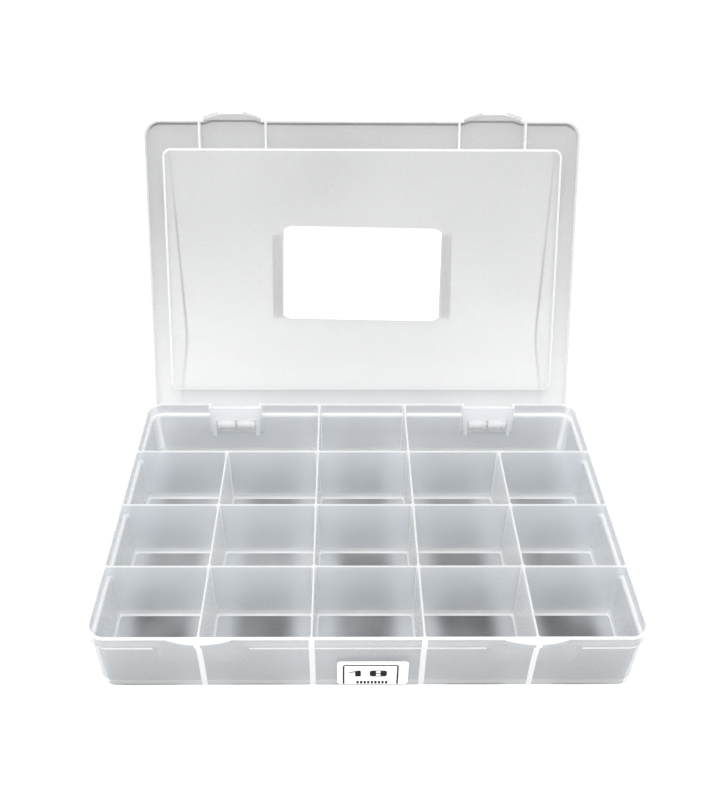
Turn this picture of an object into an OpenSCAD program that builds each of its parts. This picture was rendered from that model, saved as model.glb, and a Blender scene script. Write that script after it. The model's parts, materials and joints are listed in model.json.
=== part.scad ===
// Hinged parts organizer: a shallow moulded tray with fixed dividers, a
// framed lid on two rod hinges, and two snap latches on the lid's front edge.
// The origin is the centre of the tray's underside, +Z is up, the latches
// face -Y and the lid stands open behind the tray. Lengths are millimetres.

/* [Tray] */
// Width over the rim
tray_w = 270; // [250:1:290]
// Depth over the rim
tray_d = 189; // [180:1:200]
// Height of the rim above the underside
tray_h = 38; // [36:1:44]
// Thickness of the walls
wall_t = 1.5; // [1.2:0.1:1.8]
// Thickness of the floor
floor_t = 1.4; // [1.2:0.1:1.8]
// Height of the band that stands out round the rim
band_h = 6.5; // [5:0.5:7]
// Height of the sloping shoulder under the band
shoulder_h = 1.8; // [1:0.1:2.5]
// How far the wall steps in below the band
step_in = 1.3; // [1:0.1:3]
// How much further the wall leans in towards the floor
draft_in = 0.6; // [0.3:0.1:1]
// Corner radius of the rim, seen from above
corner_r = 10; // [9:0.5:12]
// Radius of the outer bottom edge
foot_r = 1.2; // [1:0.1:2.5]

/* [Dividers] */
// Distance between neighbouring column dividers
col_pitch = 53.8; // [50:0.2:54]
// Distance between neighbouring row dividers
row_pitch = 46.8; // [44:0.2:47]
// Divider thickness at the top edge
divider_top_t = 1.1; // [0.9:0.1:1.3]
// Divider thickness at the foot
divider_foot_t = 1.6; // [1.4:0.1:1.8]
// How far the divider tops lie below the rim
divider_drop = 0.4; // [0.2:0.1:0.8]
// Leg of the fillet where a divider meets the floor
fillet_w = 1.5; // [1:0.1:1.8]

/* [Lid] */
// Angle that the lid turns from closed to open
lid_open_deg = 116; // [100:1:118]
// Gap between the closed lid's skirt and the rim
rim_gap = 0.4; // [0.3:0.1:0.6]
// Height of the lid's skirt
skirt_h = 6.1; // [5:0.1:7]
// Thickness of the lid's plates and skirt
lid_t = 1.3; // [1.1:0.1:1.5]
// Width of the raised border at each side
border_side = 11.5; // [10.5:0.5:13]
// Width of the raised border at the front
border_front = 17; // [15:0.5:19]
// Width of the raised border at the rear
border_rear = 21.6; // [19:0.2:23]
// Corner radius of the sunken panel
well_r = 5; // [4:0.5:7]

/* [Latches and hinges] */
// Distance of each latch and hinge from the middle
station_x = 80; // [74:1:84]
// Half the width of a latch bulge
latch_half = 19.8; // [17:0.2:22]
// How far a latch bulge stands out
latch_out = 5.2; // [5:0.1:6]
// Half the width of a catch
catch_half = 16; // [14:0.5:16]
// How far a catch stands out
catch_out = 3.1; // [2.8:0.1:3.3]
// Width of the hooked lip inside a latch
lip_w = 15; // [10:1:18]
// Height of the hinge axis above the underside
hinge_z = 24; // [23.5:0.1:24.5]
// Distance of the hinge axis in front of the rear rim
hinge_in = 2.5; // [2.4:0.1:2.6]
// Radius of the hinge rods
rod_r = 1.6; // [1.4:0.1:1.8]
// Radial clearance of the lid's eyes on the rods
rod_clear = 0.08; // [0.04:0.01:0.1]
// Width of one hinge eye
eye_w = 11; // [9:0.5:11.5]
// Half the width of a hinge pocket
pocket_half = 16.5; // [16.2:0.1:18]
// How much narrower each side of a pocket is at its floor
pocket_taper = 1.8; // [0:0.1:1.8]

/* [Labels] */
// Width of the card inside the lid
card_w = 99; // [80:1:120]
// Height of the card inside the lid
card_d = 57.5; // [40:0.5:70]
// Tilt of the card, as if stuck on by hand
card_tilt_deg = 1; // [0:0.5:2]
// Width of the front sticker
sticker_w = 35; // [30:0.5:40]
// Height of the front sticker
sticker_h = 18; // [14:0.5:18]
// How far the front sticker sits right of the middle
sticker_x = 2.7; // [0:0.1:4]
// Thickness of card and sticker
paper_t = 0.2; // [0.15:0.05:0.3]

/* [Hidden] */
$fn = 96;
wide_fn = 160;
rim_x = tray_w / 2;
rim_y = tray_d / 2;
straight_x = rim_x - corner_r;
straight_y = rim_y - corner_r;
rim_break = 0.5;
band_z = tray_h - band_h;
divider_z = tray_h - divider_drop;
foot_d = step_in + draft_in;
floor_edge = 6.2;
inner_fillet = 1.2;
ledge_z = band_z - 0.6;
ledge_break = 0.3;

hinge_y = rim_y - hinge_in;
eye_r = 3.2;
eye_flange_r = 4;
eye_flange_w = 1.3;
eye_gap = 1.5;
arm_front = 0.4;
arm_rear = 1.9;
pocket_floor_z = 19.7;
pocket_t = 1.3;
pocket_stop = 0.5;
pocket_top_y = hinge_y - 2;
pocket_foot_y = hinge_y - 5.4;
pocket_foot_z = pocket_floor_z - pocket_t;
window_half = 12.6;
notch_d = 8;
window_top_z = 29;
window_d = 5;

lid_z = tray_h + rim_gap;
border_z = lid_z + skirt_h;
lid_top = border_z + lid_t;
panel_z = lid_z + 0.2;
well_x = rim_x - border_side;
well_front = -rim_y + border_front;
well_rear = rim_y - border_rear;
arm_half = eye_w + eye_gap / 2;

latch_r = (pow(latch_half, 2) + pow(latch_out, 2)) / (2 * latch_out);
catch_r = (pow(catch_half, 2) + pow(catch_out, 2)) / (2 * catch_out);
latch_bottom_z = 31;
latch_gap = 0.3;
latch_rim_gap = 0.4;
latch_y = -rim_y - latch_out;
lip_z = [32.6, 34.4];
lip_under = 0.8;
catch_z = [34.9, 37.4];
pad_half = 23;
pad_foot_z = 19;
rib_t = 1.2;
rib_h = 5.5;
rib_x = latch_half + 0.6;

card_y = -1.6;
sticker_z = 1.3;

pp_tray = [0.86, 0.88, 0.90, 0.55];
pp_lid = [0.88, 0.88, 0.89, 0.5];
paper_white = [0.97, 0.97, 0.96];

// ---- shared shapes ----

// Depth of the wall's outer face behind the rim plane at height z
function outer_depth(z) =
  foot_d - draft_in * (z - foot_r) / (band_z - shoulder_h - foot_r);

// Wall section: x is the depth inwards from the rim plane, y the height
function wall_outer_side() = [
  [rim_break, tray_h], [0, tray_h - rim_break], [0, band_z],
  [step_in, band_z - shoulder_h], [foot_d, foot_r],
  for (a = [15:15:90]) [foot_d + foot_r * (1 - cos(a)), foot_r * (1 - sin(a))],
  [floor_edge, 0]];
function wall_inner_side() = [
  [floor_edge, floor_t], [foot_d + wall_t + inner_fillet, floor_t],
  [foot_d + wall_t, floor_t + inner_fillet], [step_in + wall_t, ledge_z - shoulder_h / 2],
  [wall_t + step_in - ledge_break, ledge_z], [wall_t, ledge_z + ledge_break], [wall_t, tray_h]];

module wall_section() { polygon(concat(wall_outer_side(), wall_inner_side())); }

// Draws a section (inwards, up) along X at the front, or along Y at the left
module run_x(half) {
  translate([-half, -rim_y, 0]) rotate([90, 0, 90]) linear_extrude(2 * half) children();
}
module run_y(half) {
  translate([-rim_x, half, 0]) rotate([90, 0, 0]) linear_extrude(2 * half) children();
}

// Turns a section through the quarter circle of the front left corner, and
// flips it to another corner with 1 instead of 0
module run_corner(flip_x, flip_y) {
  mirror([flip_x, 0, 0]) mirror([0, flip_y, 0])
    translate([corner_r - rim_x, corner_r - rim_y, 0])
      rotate([0, 0, 180]) rotate_extrude(angle = 90)
        translate([corner_r, 0]) mirror([1, 0]) children();
}

module rounded_rect(x, y, r) {
  for (a = [[x - r, y], [x, y - r]]) square([2 * a[0], 2 * a[1]], center = true);
  for (i = [-1, 1], j = [-1, 1]) translate([i * (x - r), j * (y - r)]) circle(r);
}

// The space inside the walls, seen along Y and along X
module inside_outline(half) {
  inner = wall_inner_side();
  polygon(concat(
    [for (p = inner) [p[0] - half, p[1]]],
    [for (i = [len(inner) - 1:-1:0]) [half - inner[i][0], inner[i][1]]]));
}

module divider_section() {
  top = divider_top_t / 2;
  foot = divider_foot_t / 2;
  polygon([[-top, divider_z], [-foot, floor_t + fillet_w], [-foot - fillet_w, floor_t],
    [foot + fillet_w, floor_t], [foot, floor_t + fillet_w], [top, divider_z]]);
}

// Takes what is drawn in the closed lid to where the open lid holds it
module open_lid() {
  translate([0, hinge_y, hinge_z]) rotate([-lid_open_deg, 0, 0])
    translate([0, -hinge_y, -hinge_z]) children();
}

// ---- tray ----

module tray_floor() color(pp_tray)
  linear_extrude(floor_t)
    rounded_rect(rim_x - floor_edge, rim_y - floor_edge, corner_r - floor_edge);

module front_wall() color(pp_tray) run_x(straight_x) wall_section();

module rear_wall() color(pp_tray) difference() {
  mirror([0, 1, 0]) run_x(straight_x) wall_section();
  for (side = [-1, 1]) pocket_space(side, 0)
    translate([rim_y - notch_d, pocket_foot_z]) square([2 * notch_d, tray_h]);
}

module left_wall() color(pp_tray) run_y(straight_y) wall_section();
module right_wall() color(pp_tray) mirror([1, 0, 0]) run_y(straight_y) wall_section();

module corner_front_left() color(pp_tray) run_corner(0, 0) wall_section();
module corner_front_right() color(pp_tray) run_corner(1, 0) wall_section();
module corner_rear_left() color(pp_tray) run_corner(0, 1) wall_section();
module corner_rear_right() color(pp_tray) run_corner(1, 1) wall_section();

module row_divider(index) {
  intersection() {
    translate([-rim_x, index * row_pitch, 0]) rotate([90, 0, 90])
      linear_extrude(tray_w) divider_section();
    translate([0, rim_y, 0]) rotate([90, 0, 0]) linear_extrude(tray_d) inside_outline(rim_x);
  }
}
module row_divider_front() color(pp_tray) row_divider(-1);
module row_divider_middle() color(pp_tray) row_divider(0);
module row_divider_rear() color(pp_tray) row_divider(1);

// A column stands between the rows; the outer ones stop at the rear row
module column_divider(x, rear_y) {
  difference() {
    intersection() {
      translate([x, rear_y, 0]) rotate([90, 0, 0])
        linear_extrude(rear_y + rim_y) divider_section();
      translate([-rim_x, 0, 0]) rotate([90, 0, 90])
        linear_extrude(tray_w) inside_outline(rim_y);
    }
    for (index = [-1, 0, 1])
      translate([x - 10, index * row_pitch, 0]) rotate([90, 0, 90])
        linear_extrude(20) divider_section();
  }
}
module column_divider_outer_left() color(pp_tray) column_divider(-1.5 * col_pitch, row_pitch);
module column_divider_inner_left() color(pp_tray) column_divider(-0.5 * col_pitch, rim_y);
module column_divider_inner_right() color(pp_tray) column_divider(0.5 * col_pitch, rim_y);
module column_divider_outer_right() color(pp_tray) column_divider(1.5 * col_pitch, row_pitch);

// Crescent ledge on the rim that a latch hooks under
module catch(side) {
  translate([side * station_x, 0, catch_z[0]]) linear_extrude(catch_z[1] - catch_z[0])
    intersection() {
      translate([0, catch_r - catch_out - rim_y]) circle(catch_r, $fn = wide_fn);
      translate([-rim_x, -rim_y - catch_out]) square([tray_w, catch_out]);
    }
}
module catch_left() color(pp_tray) catch(-1);
module catch_right() color(pp_tray) catch(1);

// Wedge under a catch that fairs the band into the wall
module catch_pad(side) {
  translate([side * station_x - pad_half, -rim_y, 0]) rotate([90, 0, 90])
    linear_extrude(2 * pad_half)
      polygon([[0, band_z], [step_in, band_z - shoulder_h],
        [outer_depth(pad_foot_z), pad_foot_z]]);
}
module catch_pad_left() color(pp_tray) catch_pad(-1);
module catch_pad_right() color(pp_tray) catch_pad(1);

// Depth line of the pocket front's inner face at height z
function pocket_inner_y(z) = pocket_foot_y + pocket_t
  + (z - pocket_foot_z) * (pocket_top_y - pocket_foot_y) / (tray_h - pocket_foot_z);

// Keeps what is drawn (y, z) within a pocket's width, which tapers downwards
module pocket_space(side, inset) {
  foot = pocket_half - pocket_taper - inset;
  slope = pocket_taper / (tray_h - pocket_foot_z);
  reach = 2 * slope * tray_h;
  translate([side * station_x, 0, 0]) intersection() {
    translate([-pocket_half, 0, 0]) rotate([90, 0, 90])
      linear_extrude(2 * pocket_half) children();
    translate([0, tray_d, pocket_foot_z]) rotate([90, 0, 0]) linear_extrude(tray_d)
      polygon([[-foot, 0], [foot, 0], [foot + reach, 2 * tray_h], [-foot - reach, 2 * tray_h]]);
  }
}

// Box let into the rear wall: two cheeks, a sloping front cut open at its
// foot for the eyes, and a floor whose rear edge stops the open lid's arms
module hinge_pocket(side) {
  difference() {
    pocket_space(side, 0) polygon([[pocket_foot_y, pocket_foot_z],
      [rim_y + pocket_stop, pocket_foot_z], [rim_y + pocket_stop, pocket_floor_z],
      [rim_y, pocket_floor_z], [rim_y, tray_h], [pocket_top_y, tray_h]]);
    pocket_space(side, pocket_t) polygon([[pocket_inner_y(pocket_floor_z), pocket_floor_z],
      [tray_d, pocket_floor_z], [tray_d, 2 * tray_h], [pocket_inner_y(2 * tray_h), 2 * tray_h]]);
    translate([side * station_x - window_half, pocket_foot_y - 1, 0])
      cube([2 * window_half, window_d, window_top_z]);
  }
}
module hinge_pocket_left() color(pp_tray) hinge_pocket(-1);
module hinge_pocket_right() color(pp_tray) hinge_pocket(1);

module hinge_rod(side) {
  intersection() {
    translate([side * station_x, hinge_y, hinge_z])
      rotate([0, 90, 0]) cylinder(r = rod_r, h = 2 * pocket_half, center = true);
    pocket_space(side, pocket_t) translate([hinge_y, hinge_z]) square(3 * rod_r, center = true);
  }
}
module hinge_rod_left() color(pp_tray) hinge_rod(-1);
module hinge_rod_right() color(pp_tray) hinge_rod(1);

// Sticker lying on the leaning front wall
module front_sticker() color(paper_white) {
  foot = outer_depth(sticker_z) - rim_y;
  head = outer_depth(sticker_z + sticker_h) - rim_y;
  translate([sticker_x - sticker_w / 2, 0, 0]) rotate([90, 0, 90]) linear_extrude(sticker_w)
    polygon([[foot, sticker_z], [foot - paper_t, sticker_z],
      [head - paper_t, sticker_z + sticker_h], [head, sticker_z + sticker_h]]);
}

// ---- lid, drawn closed and turned open ----

module well_outline(grow) {
  translate([0, (well_front + well_rear) / 2])
    rounded_rect(well_x + grow, (well_rear - well_front) / 2 + grow, well_r + grow);
}

module lid_panel() color(pp_lid) open_lid()
  translate([0, 0, panel_z]) linear_extrude(lid_t) well_outline(-lid_t);

module lid_riser() color(pp_lid) open_lid()
  translate([0, 0, panel_z]) linear_extrude(lid_top - panel_z) difference() {
    well_outline(0);
    well_outline(-lid_t);
  }

module rim_outline(grow) { rounded_rect(rim_x + grow, rim_y + grow, corner_r + grow); }

// Border plate between the skirt and the well, cut to one side's strip
module border_strip(low, high) {
  translate([0, 0, border_z]) linear_extrude(lid_t) intersection() {
    difference() {
      rim_outline(0);
      well_outline(0);
    }
    translate(low) square(high - low);
  }
}

// Crescent roof over one latch
module latch_roof(side) {
  translate([side * station_x, 0, border_z]) linear_extrude(lid_t) intersection() {
    translate([0, latch_r + latch_y]) circle(latch_r, $fn = wide_fn);
    translate([-rim_x, latch_y]) square([tray_w, latch_out + 1]);
  }
}

module lid_border_front() color(pp_lid) open_lid() {
  border_strip([-rim_x, -rim_y], [rim_x, well_front]);
  for (side = [-1, 1]) latch_roof(side);
}
module lid_border_rear() color(pp_lid) open_lid()
  border_strip([-rim_x, well_rear], [rim_x, rim_y]);
module lid_border_left() color(pp_lid) open_lid()
  border_strip([-rim_x, well_front], [-well_x + well_r, well_rear]);
module lid_border_right() color(pp_lid) open_lid()
  border_strip([well_x - well_r, well_front], [rim_x, well_rear]);

// Skirt under the border, cut to one side; what is given as children opens it
module skirt_part(low, high) {
  translate([0, 0, lid_z]) linear_extrude(skirt_h) difference() {
    intersection() {
      difference() {
        rim_outline(0);
        rim_outline(-lid_t);
      }
      translate(low) square(high - low);
    }
    children();
  }
}
module station_gaps(half) {
  for (side = [-1, 1]) translate([side * station_x - half, -rim_y - 1])
    square([2 * half, tray_d + 2]);
}
module lid_skirt_front() color(pp_lid) open_lid()
  skirt_part([-straight_x, -rim_y], [straight_x, -rim_y + lid_t]) station_gaps(latch_half);
module lid_skirt_rear() color(pp_lid) open_lid()
  skirt_part([-straight_x, rim_y - lid_t], [straight_x, rim_y]) station_gaps(arm_half);
module lid_skirt_left() color(pp_lid) open_lid()
  skirt_part([-rim_x, -rim_y], [-straight_x, rim_y]);
module lid_skirt_right() color(pp_lid) open_lid()
  skirt_part([straight_x, -rim_y], [rim_x, rim_y]);

// Two ribs that stiffen the border on either side of a latch
module latch_ribs(side) {
  rib_y = -rim_y + lid_t;
  for (rib = [-1, 1])
    translate([side * station_x + rib * rib_x - rib_t / 2, rib_y, border_z - rib_h])
      cube([rib_t, well_front - rib_y, rib_h]);
}
module latch_ribs_left() color(pp_lid) open_lid() latch_ribs(-1);
module latch_ribs_right() color(pp_lid) open_lid() latch_ribs(1);

// Two flanged eyes on arms that hang from the rear border
module hinge_arms(side) {
  for (eye = [-1, 1])
    translate([side * station_x + eye * (eye_w + eye_gap) / 2, hinge_y, hinge_z])
      difference() {
        union() {
          rotate([0, 90, 0]) cylinder(r = eye_r, h = eye_w, center = true);
          for (end = [-1, 1]) translate([end * (eye_w - eye_flange_w) / 2, 0, 0])
            rotate([0, 90, 0]) cylinder(r = eye_flange_r, h = eye_flange_w, center = true);
          translate([-eye_w / 2, -arm_front, 0])
            cube([eye_w, arm_front + arm_rear, border_z - hinge_z]);
        }
        rotate([0, 90, 0]) cylinder(r = rod_r + rod_clear, h = eye_w + 1, center = true);
      }
}
module hinge_arms_left() color(pp_lid) open_lid() hinge_arms(-1);
module hinge_arms_right() color(pp_lid) open_lid() hinge_arms(1);

module lid_card() color(paper_white) open_lid()
  translate([0, card_y, panel_z - paper_t]) rotate([0, 0, card_tilt_deg])
    linear_extrude(paper_t) rounded_rect(card_w / 2, card_d / 2, 2);

// ---- latches ----

// Crescent wall that bends about its top edge, with a lip that hooks the catch
module latch(side) {
  translate([side * station_x, 0, 0]) {
    translate([0, 0, latch_bottom_z])
      linear_extrude(border_z - latch_gap - latch_bottom_z) difference() {
        intersection() {
          translate([0, latch_r + latch_y]) circle(latch_r, $fn = wide_fn);
          translate([-latch_half, latch_y]) square([2 * latch_half, latch_out - latch_rim_gap]);
        }
        translate([0, latch_r + latch_y]) circle(latch_r - lid_t, $fn = wide_fn);
      }
    lip_y = -rim_y - catch_out + lip_under;
    lip_root = latch_y + lid_t / 2;
    translate([-lip_w / 2, lip_root, lip_z[0]])
      cube([lip_w, lip_y - lip_root, lip_z[1] - lip_z[0]]);
  }
}
module latch_left() color(pp_lid) open_lid() latch(-1);
module latch_right() color(pp_lid) open_lid() latch(1);

tray_floor();
front_wall();
rear_wall();
left_wall();
right_wall();
corner_front_left();
corner_front_right();
corner_rear_left();
corner_rear_right();
row_divider_front();
row_divider_middle();
row_divider_rear();
column_divider_outer_left();
column_divider_inner_left();
column_divider_inner_right();
column_divider_outer_right();
catch_left();
catch_right();
catch_pad_left();
catch_pad_right();
hinge_pocket_left();
hinge_pocket_right();
hinge_rod_left();
hinge_rod_right();
front_sticker();
lid_panel();
lid_riser();
lid_border_front();
lid_border_rear();
lid_border_left();
lid_border_right();
lid_skirt_front();
lid_skirt_rear();
lid_skirt_left();
lid_skirt_right();
latch_ribs_left();
latch_ribs_right();
hinge_arms_left();
hinge_arms_right();
lid_card();
latch_left();
latch_right();
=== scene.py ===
# Looks of the hinged parts organizer: one continuous translucent moulding for
# the tray and one for the lid, two latch flaps, a card and a printed sticker.
# Shapes are drawn in millimetres and stored in metres.
import json
import math

import bmesh
import bpy
from mathutils import Matrix, Vector
from mathutils.geometry import delaunay_2d_cdt


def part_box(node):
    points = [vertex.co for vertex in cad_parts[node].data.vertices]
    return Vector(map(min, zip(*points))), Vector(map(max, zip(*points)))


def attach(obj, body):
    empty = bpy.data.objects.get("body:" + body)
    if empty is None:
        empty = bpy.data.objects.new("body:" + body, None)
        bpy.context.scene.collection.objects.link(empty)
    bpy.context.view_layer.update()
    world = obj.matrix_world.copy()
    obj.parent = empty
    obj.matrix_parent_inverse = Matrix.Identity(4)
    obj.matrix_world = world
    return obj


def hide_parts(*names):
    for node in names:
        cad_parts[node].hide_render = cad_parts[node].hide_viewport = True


MM = 0.001
CORNER_STEPS = 10

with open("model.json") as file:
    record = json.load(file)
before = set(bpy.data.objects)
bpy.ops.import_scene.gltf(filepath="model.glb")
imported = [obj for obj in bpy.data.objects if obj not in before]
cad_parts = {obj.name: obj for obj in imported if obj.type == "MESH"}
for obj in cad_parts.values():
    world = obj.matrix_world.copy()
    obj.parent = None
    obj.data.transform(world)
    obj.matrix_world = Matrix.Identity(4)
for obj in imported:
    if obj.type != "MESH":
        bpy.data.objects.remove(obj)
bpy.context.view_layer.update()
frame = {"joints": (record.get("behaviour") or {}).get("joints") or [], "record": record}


def box_mm(name):
    """Lowest and highest corner of a CAD node, in millimetres."""
    low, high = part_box(name)
    return low / MM, high / MM


def joint_named(name):
    return next(j for j in frame["joints"] if j["name"] == name)


# ---- sizes that the frame gives ----

RIM_X = -box_mm("left_wall")[0].x
RIM_Y = -box_mm("corner_front_left")[0].y
RIM_Z = box_mm("left_wall")[1].z
RIM_R = 10.0
FLOOR_T = box_mm("tray_floor")[1].z
DIVIDER_Z = box_mm("row_divider_front")[1].z


def middle(name, axis):
    low, high = box_mm(name)
    return (low[axis] + high[axis]) / 2


ROWS = [middle(f"row_divider_{n}", 1) for n in ("front", "middle", "rear")]
COLUMNS = [middle(f"column_divider_{n}", 0)
           for n in ("outer_left", "inner_left", "inner_right", "outer_right")]
STATIONS = [middle(f"catch_{side}", 0) for side in ("left", "right")]
HINGE = joint_named("lid_hinge")
HINGE_Y, HINGE_Z = HINGE["pos_m"][1] / MM, HINGE["pos_m"][2] / MM
OPEN_DEG = HINGE["range_deg"][1]

# ---- sizes of the mouldings' sections ----

WALL_T = 1.5
WALL_FOOT = 1.9
WALL_STEP = 1.3
FOOT_R = 1.2
CELL_R = 1.5
DIVIDER_TOP_HALF = 0.55
DIVIDER_FOOT_HALF = 0.8
FILLET = 1.5
WALL_FILLET = 1.2
WALL_FOOT_DEPTH = WALL_FOOT + WALL_T
WALL_LEDGE_DEPTH = WALL_STEP + WALL_T
LEDGE_Z = 29.6
SHOULDER_Z = 29.7
POCKET_T = 1.3
POCKET_LEAN = 3.4
POCKET_TAPER = 1.8
WINDOW_HALF = 12.6
WINDOW_TOP_Z = 29.0
ROD_R = 1.6
ROD_HALF = 14.5

LID_T = 1.3
LID_Z = RIM_Z + 0.4
BORDER_Z = LID_Z + 6.1
LID_TOP = BORDER_Z + LID_T
PANEL_Z = LID_Z + 0.2
WELL_X = RIM_X - 11.5
WELL_Y = (-RIM_Y + 17.0, RIM_Y - 21.6)
WELL_R = 5.0
LATCH_HALF = 19.8
LATCH_OUT = 5.2
LATCH_SOFT = 0.8
LATCH_GAP_HALF = 17.8
LATCH_CLEAR = 0.4
RIB_OFFSET = LATCH_HALF + 0.6
LATCH_R = (LATCH_HALF ** 2 + LATCH_OUT ** 2) / (2 * LATCH_OUT)
CATCH_HALF = 16.0
CATCH_OUT = 3.1
CATCH_R = (CATCH_HALF ** 2 + CATCH_OUT ** 2) / (2 * CATCH_OUT)
CATCH_Z = (34.9, 37.4)
PAD_TOP_Z = 31.9
PAD_HOLLOW_Z = 31.4
PAD_HOLLOW = 0.25
PAD_FADE = 4.5
LATCH_FOOT_Z = 31.0
LIP_HALF = 7.5
LIP_TIP_Z = (33.2, 34.3)
EYE_W = 11.0
EYE_GAP = 1.5
EYE_R = 3.2
EYE_CLEAR = 0.08
FLANGE_R = 4.0
FLANGE_W = 1.3
ARM_DROP = 2.3

STICKER_HALF = (17.5, 9.0)
STICKER_R = 1.8
STICKER_T = 0.18
PRINT_LOW, PRINT_HIGH = 0.17, 0.2


# ---- mesh building ----

class Shell:
    """Faces given by their points; points in the same place are one vertex."""

    def __init__(self):
        self.points = []
        self.places = {}
        self.faces = []

    def at(self, point):
        key = tuple(round(c, 4) for c in point)
        if key not in self.places:
            self.places[key] = len(self.points)
            self.points.append(Vector(point) * MM)
        return self.places[key]

    def face(self, points):
        corners = []
        for point in points:
            index = self.at(point)
            if index not in corners:
                corners.append(index)
        if len(corners) > 2:
            self.faces.append(corners)

    def strip(self, low, high):
        """Joins two closed rings with the same number of points."""
        count = len(low)
        for i in range(count):
            j = (i + 1) % count
            self.face([low[i], low[j], high[j], high[i]])

    def loft(self, rings, caps=True):
        for low, high in zip(rings, rings[1:]):
            self.strip(low, high)
        if caps:
            self.face(rings[0])
            self.face(rings[-1])

    def build(self, name):
        mesh = bpy.data.meshes.new(name)
        mesh.from_pydata(self.points, [], self.faces)
        bm = bmesh.new()
        bm.from_mesh(mesh)
        bmesh.ops.recalc_face_normals(bm, faces=bm.faces)
        bm.to_mesh(mesh)
        bm.free()
        piece = bpy.data.objects.new(name, mesh)
        bpy.context.scene.collection.objects.link(piece)
        return piece


def combine(piece, shell, operation):
    """Adds or cuts a second solid and keeps the result as the piece's mesh."""
    tool = shell.build(piece.name + "_tool")
    modifier = piece.modifiers.new("combine", "BOOLEAN")
    modifier.operation = operation
    modifier.solver = "EXACT"
    modifier.object = tool
    graph = bpy.context.evaluated_depsgraph_get()
    made = bpy.data.meshes.new_from_object(piece.evaluated_get(graph))
    piece.modifiers.clear()
    piece.data = made
    bpy.data.objects.remove(tool)


def finish_surface(piece, sharp_deg=40.0):
    """Cleans the mesh, keeps its true corners sharp and weights its normals."""
    bm = bmesh.new()
    bm.from_mesh(piece.data)
    bmesh.ops.remove_doubles(bm, verts=bm.verts, dist=0.002 * MM)
    bmesh.ops.dissolve_degenerate(bm, edges=bm.edges, dist=0.002 * MM)
    for face in bm.faces:
        face.smooth = True
    for edge in bm.edges:
        edge.smooth = edge.calc_face_angle(0.0) < math.radians(sharp_deg)
    bm.to_mesh(piece.data)
    bm.free()
    weighted = piece.modifiers.new("weighted", "WEIGHTED_NORMAL")
    weighted.keep_sharp = True
    weighted.weight = 80


def rounded_ring(x, y, radii, z, steps=CORNER_STEPS):
    """Counterclockwise rectangle x=(low, high), y=(low, high) with round corners.

    radii go front left, front right, rear right, rear left."""
    corners = [(x[0], y[0], 180, 1, 1), (x[1], y[0], 270, -1, 1),
               (x[1], y[1], 0, -1, -1), (x[0], y[1], 90, 1, -1)]
    ring = []
    for (cx, cy, start, sx, sy), r in zip(corners, radii):
        for i in range(steps + 1):
            a = math.radians(start + 90 * i / steps)
            ring.append((cx + r * (sx + math.cos(a)), cy + r * (sy + math.sin(a)), z))
    return ring


def prism_x(shell, section, x_low, x_high):
    """Solid with a (y, z) section; x_low and x_high may depend on z."""
    ends = []
    for reach in (x_low, x_high):
        ends.append([(reach(z) if callable(reach) else reach, y, z) for y, z in section])
    shell.loft(ends)


def block(shell, low, high):
    section = [(low[1], low[2]), (high[1], low[2]), (high[1], high[2]), (low[1], high[2])]
    prism_x(shell, section, low[0], high[0])


# ---- tray ----

def fillet_levels(radius, base):
    """(height, offset) pairs down a concave fillet of the divider's size."""
    for a in (15, 30, 45, 60, 75, 90):
        height = FILLET * (1 - math.sin(math.radians(a)))
        left = max(radius - height, 0.0)
        yield base + height, radius - math.sqrt(max(radius ** 2 - left ** 2, 0.0))


def lerp(a, b, t):
    return a + (b - a) * t


def cell_levels():
    """(z, wall depth, divider half thickness) from the top to the floor."""
    levels = [(DIVIDER_Z, WALL_T, DIVIDER_TOP_HALF - 0.22),
              (DIVIDER_Z - 0.08, WALL_T, DIVIDER_TOP_HALF - 0.1),
              (DIVIDER_Z - 0.25, WALL_T, DIVIDER_TOP_HALF - 0.02)]
    foot_z = FLOOR_T + FILLET

    def half(z):
        return lerp(DIVIDER_FOOT_HALF, DIVIDER_TOP_HALF, (z - foot_z) / (DIVIDER_Z - foot_z))

    ledge = [(32.0, WALL_T), (31.5, 1.53), (31.25, 1.65), (31.08, 1.9), (30.97, 2.2),
             (30.85, 2.45), (30.6, 2.65), (30.2, 2.76), (LEDGE_Z, WALL_LEDGE_DEPTH)]
    for z, depth in [(DIVIDER_Z - 0.8, WALL_T)] + ledge:
        levels.append((z, depth, half(z)))
    levels.append((foot_z, WALL_FOOT_DEPTH, DIVIDER_FOOT_HALF))
    walls = list(fillet_levels(WALL_FILLET, FLOOR_T))
    dividers = list(fillet_levels(FILLET, FLOOR_T))
    for (z, wall), (_, divider) in zip(walls, dividers):
        levels.append((z, WALL_FOOT_DEPTH + wall, DIVIDER_FOOT_HALF + divider))
    return levels


def side_place(line, wall, level, inward):
    """Where a cell's side runs at one level: line is a wall's rim or a divider."""
    z, depth, half = level
    return line + inward * (depth if wall else half)


def cell_ring(cell, level):
    (x0, wx0), (x1, wx1), (y0, wy0), (y1, wy1) = cell
    x = (side_place(x0, wx0, level, 1), side_place(x1, wx1, level, -1))
    y = (side_place(y0, wy0, level, 1), side_place(y1, wy1, level, -1))
    walls = [(wx0, wy0), (wx1, wy0), (wx1, wy1), (wx0, wy1)]
    radii = [RIM_R - level[1] if a and b else CELL_R for a, b in walls]
    return rounded_ring(x, y, radii, level[0])


def cells():
    """The 18 compartments, each as its four sides (line, is it a wall)."""
    xs = [(-RIM_X, True)] + [(x, False) for x in COLUMNS] + [(RIM_X, True)]
    ys = [(-RIM_Y, True)] + [(y, False) for y in ROWS] + [(RIM_Y, True)]
    rear_xs = [xs[0], xs[2], xs[3], xs[5]]
    made = []
    for row in range(4):
        line = rear_xs if row == 3 else xs
        for left, right in zip(line, line[1:]):
            made.append((left, right, ys[row], ys[row + 1]))
    return made


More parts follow.
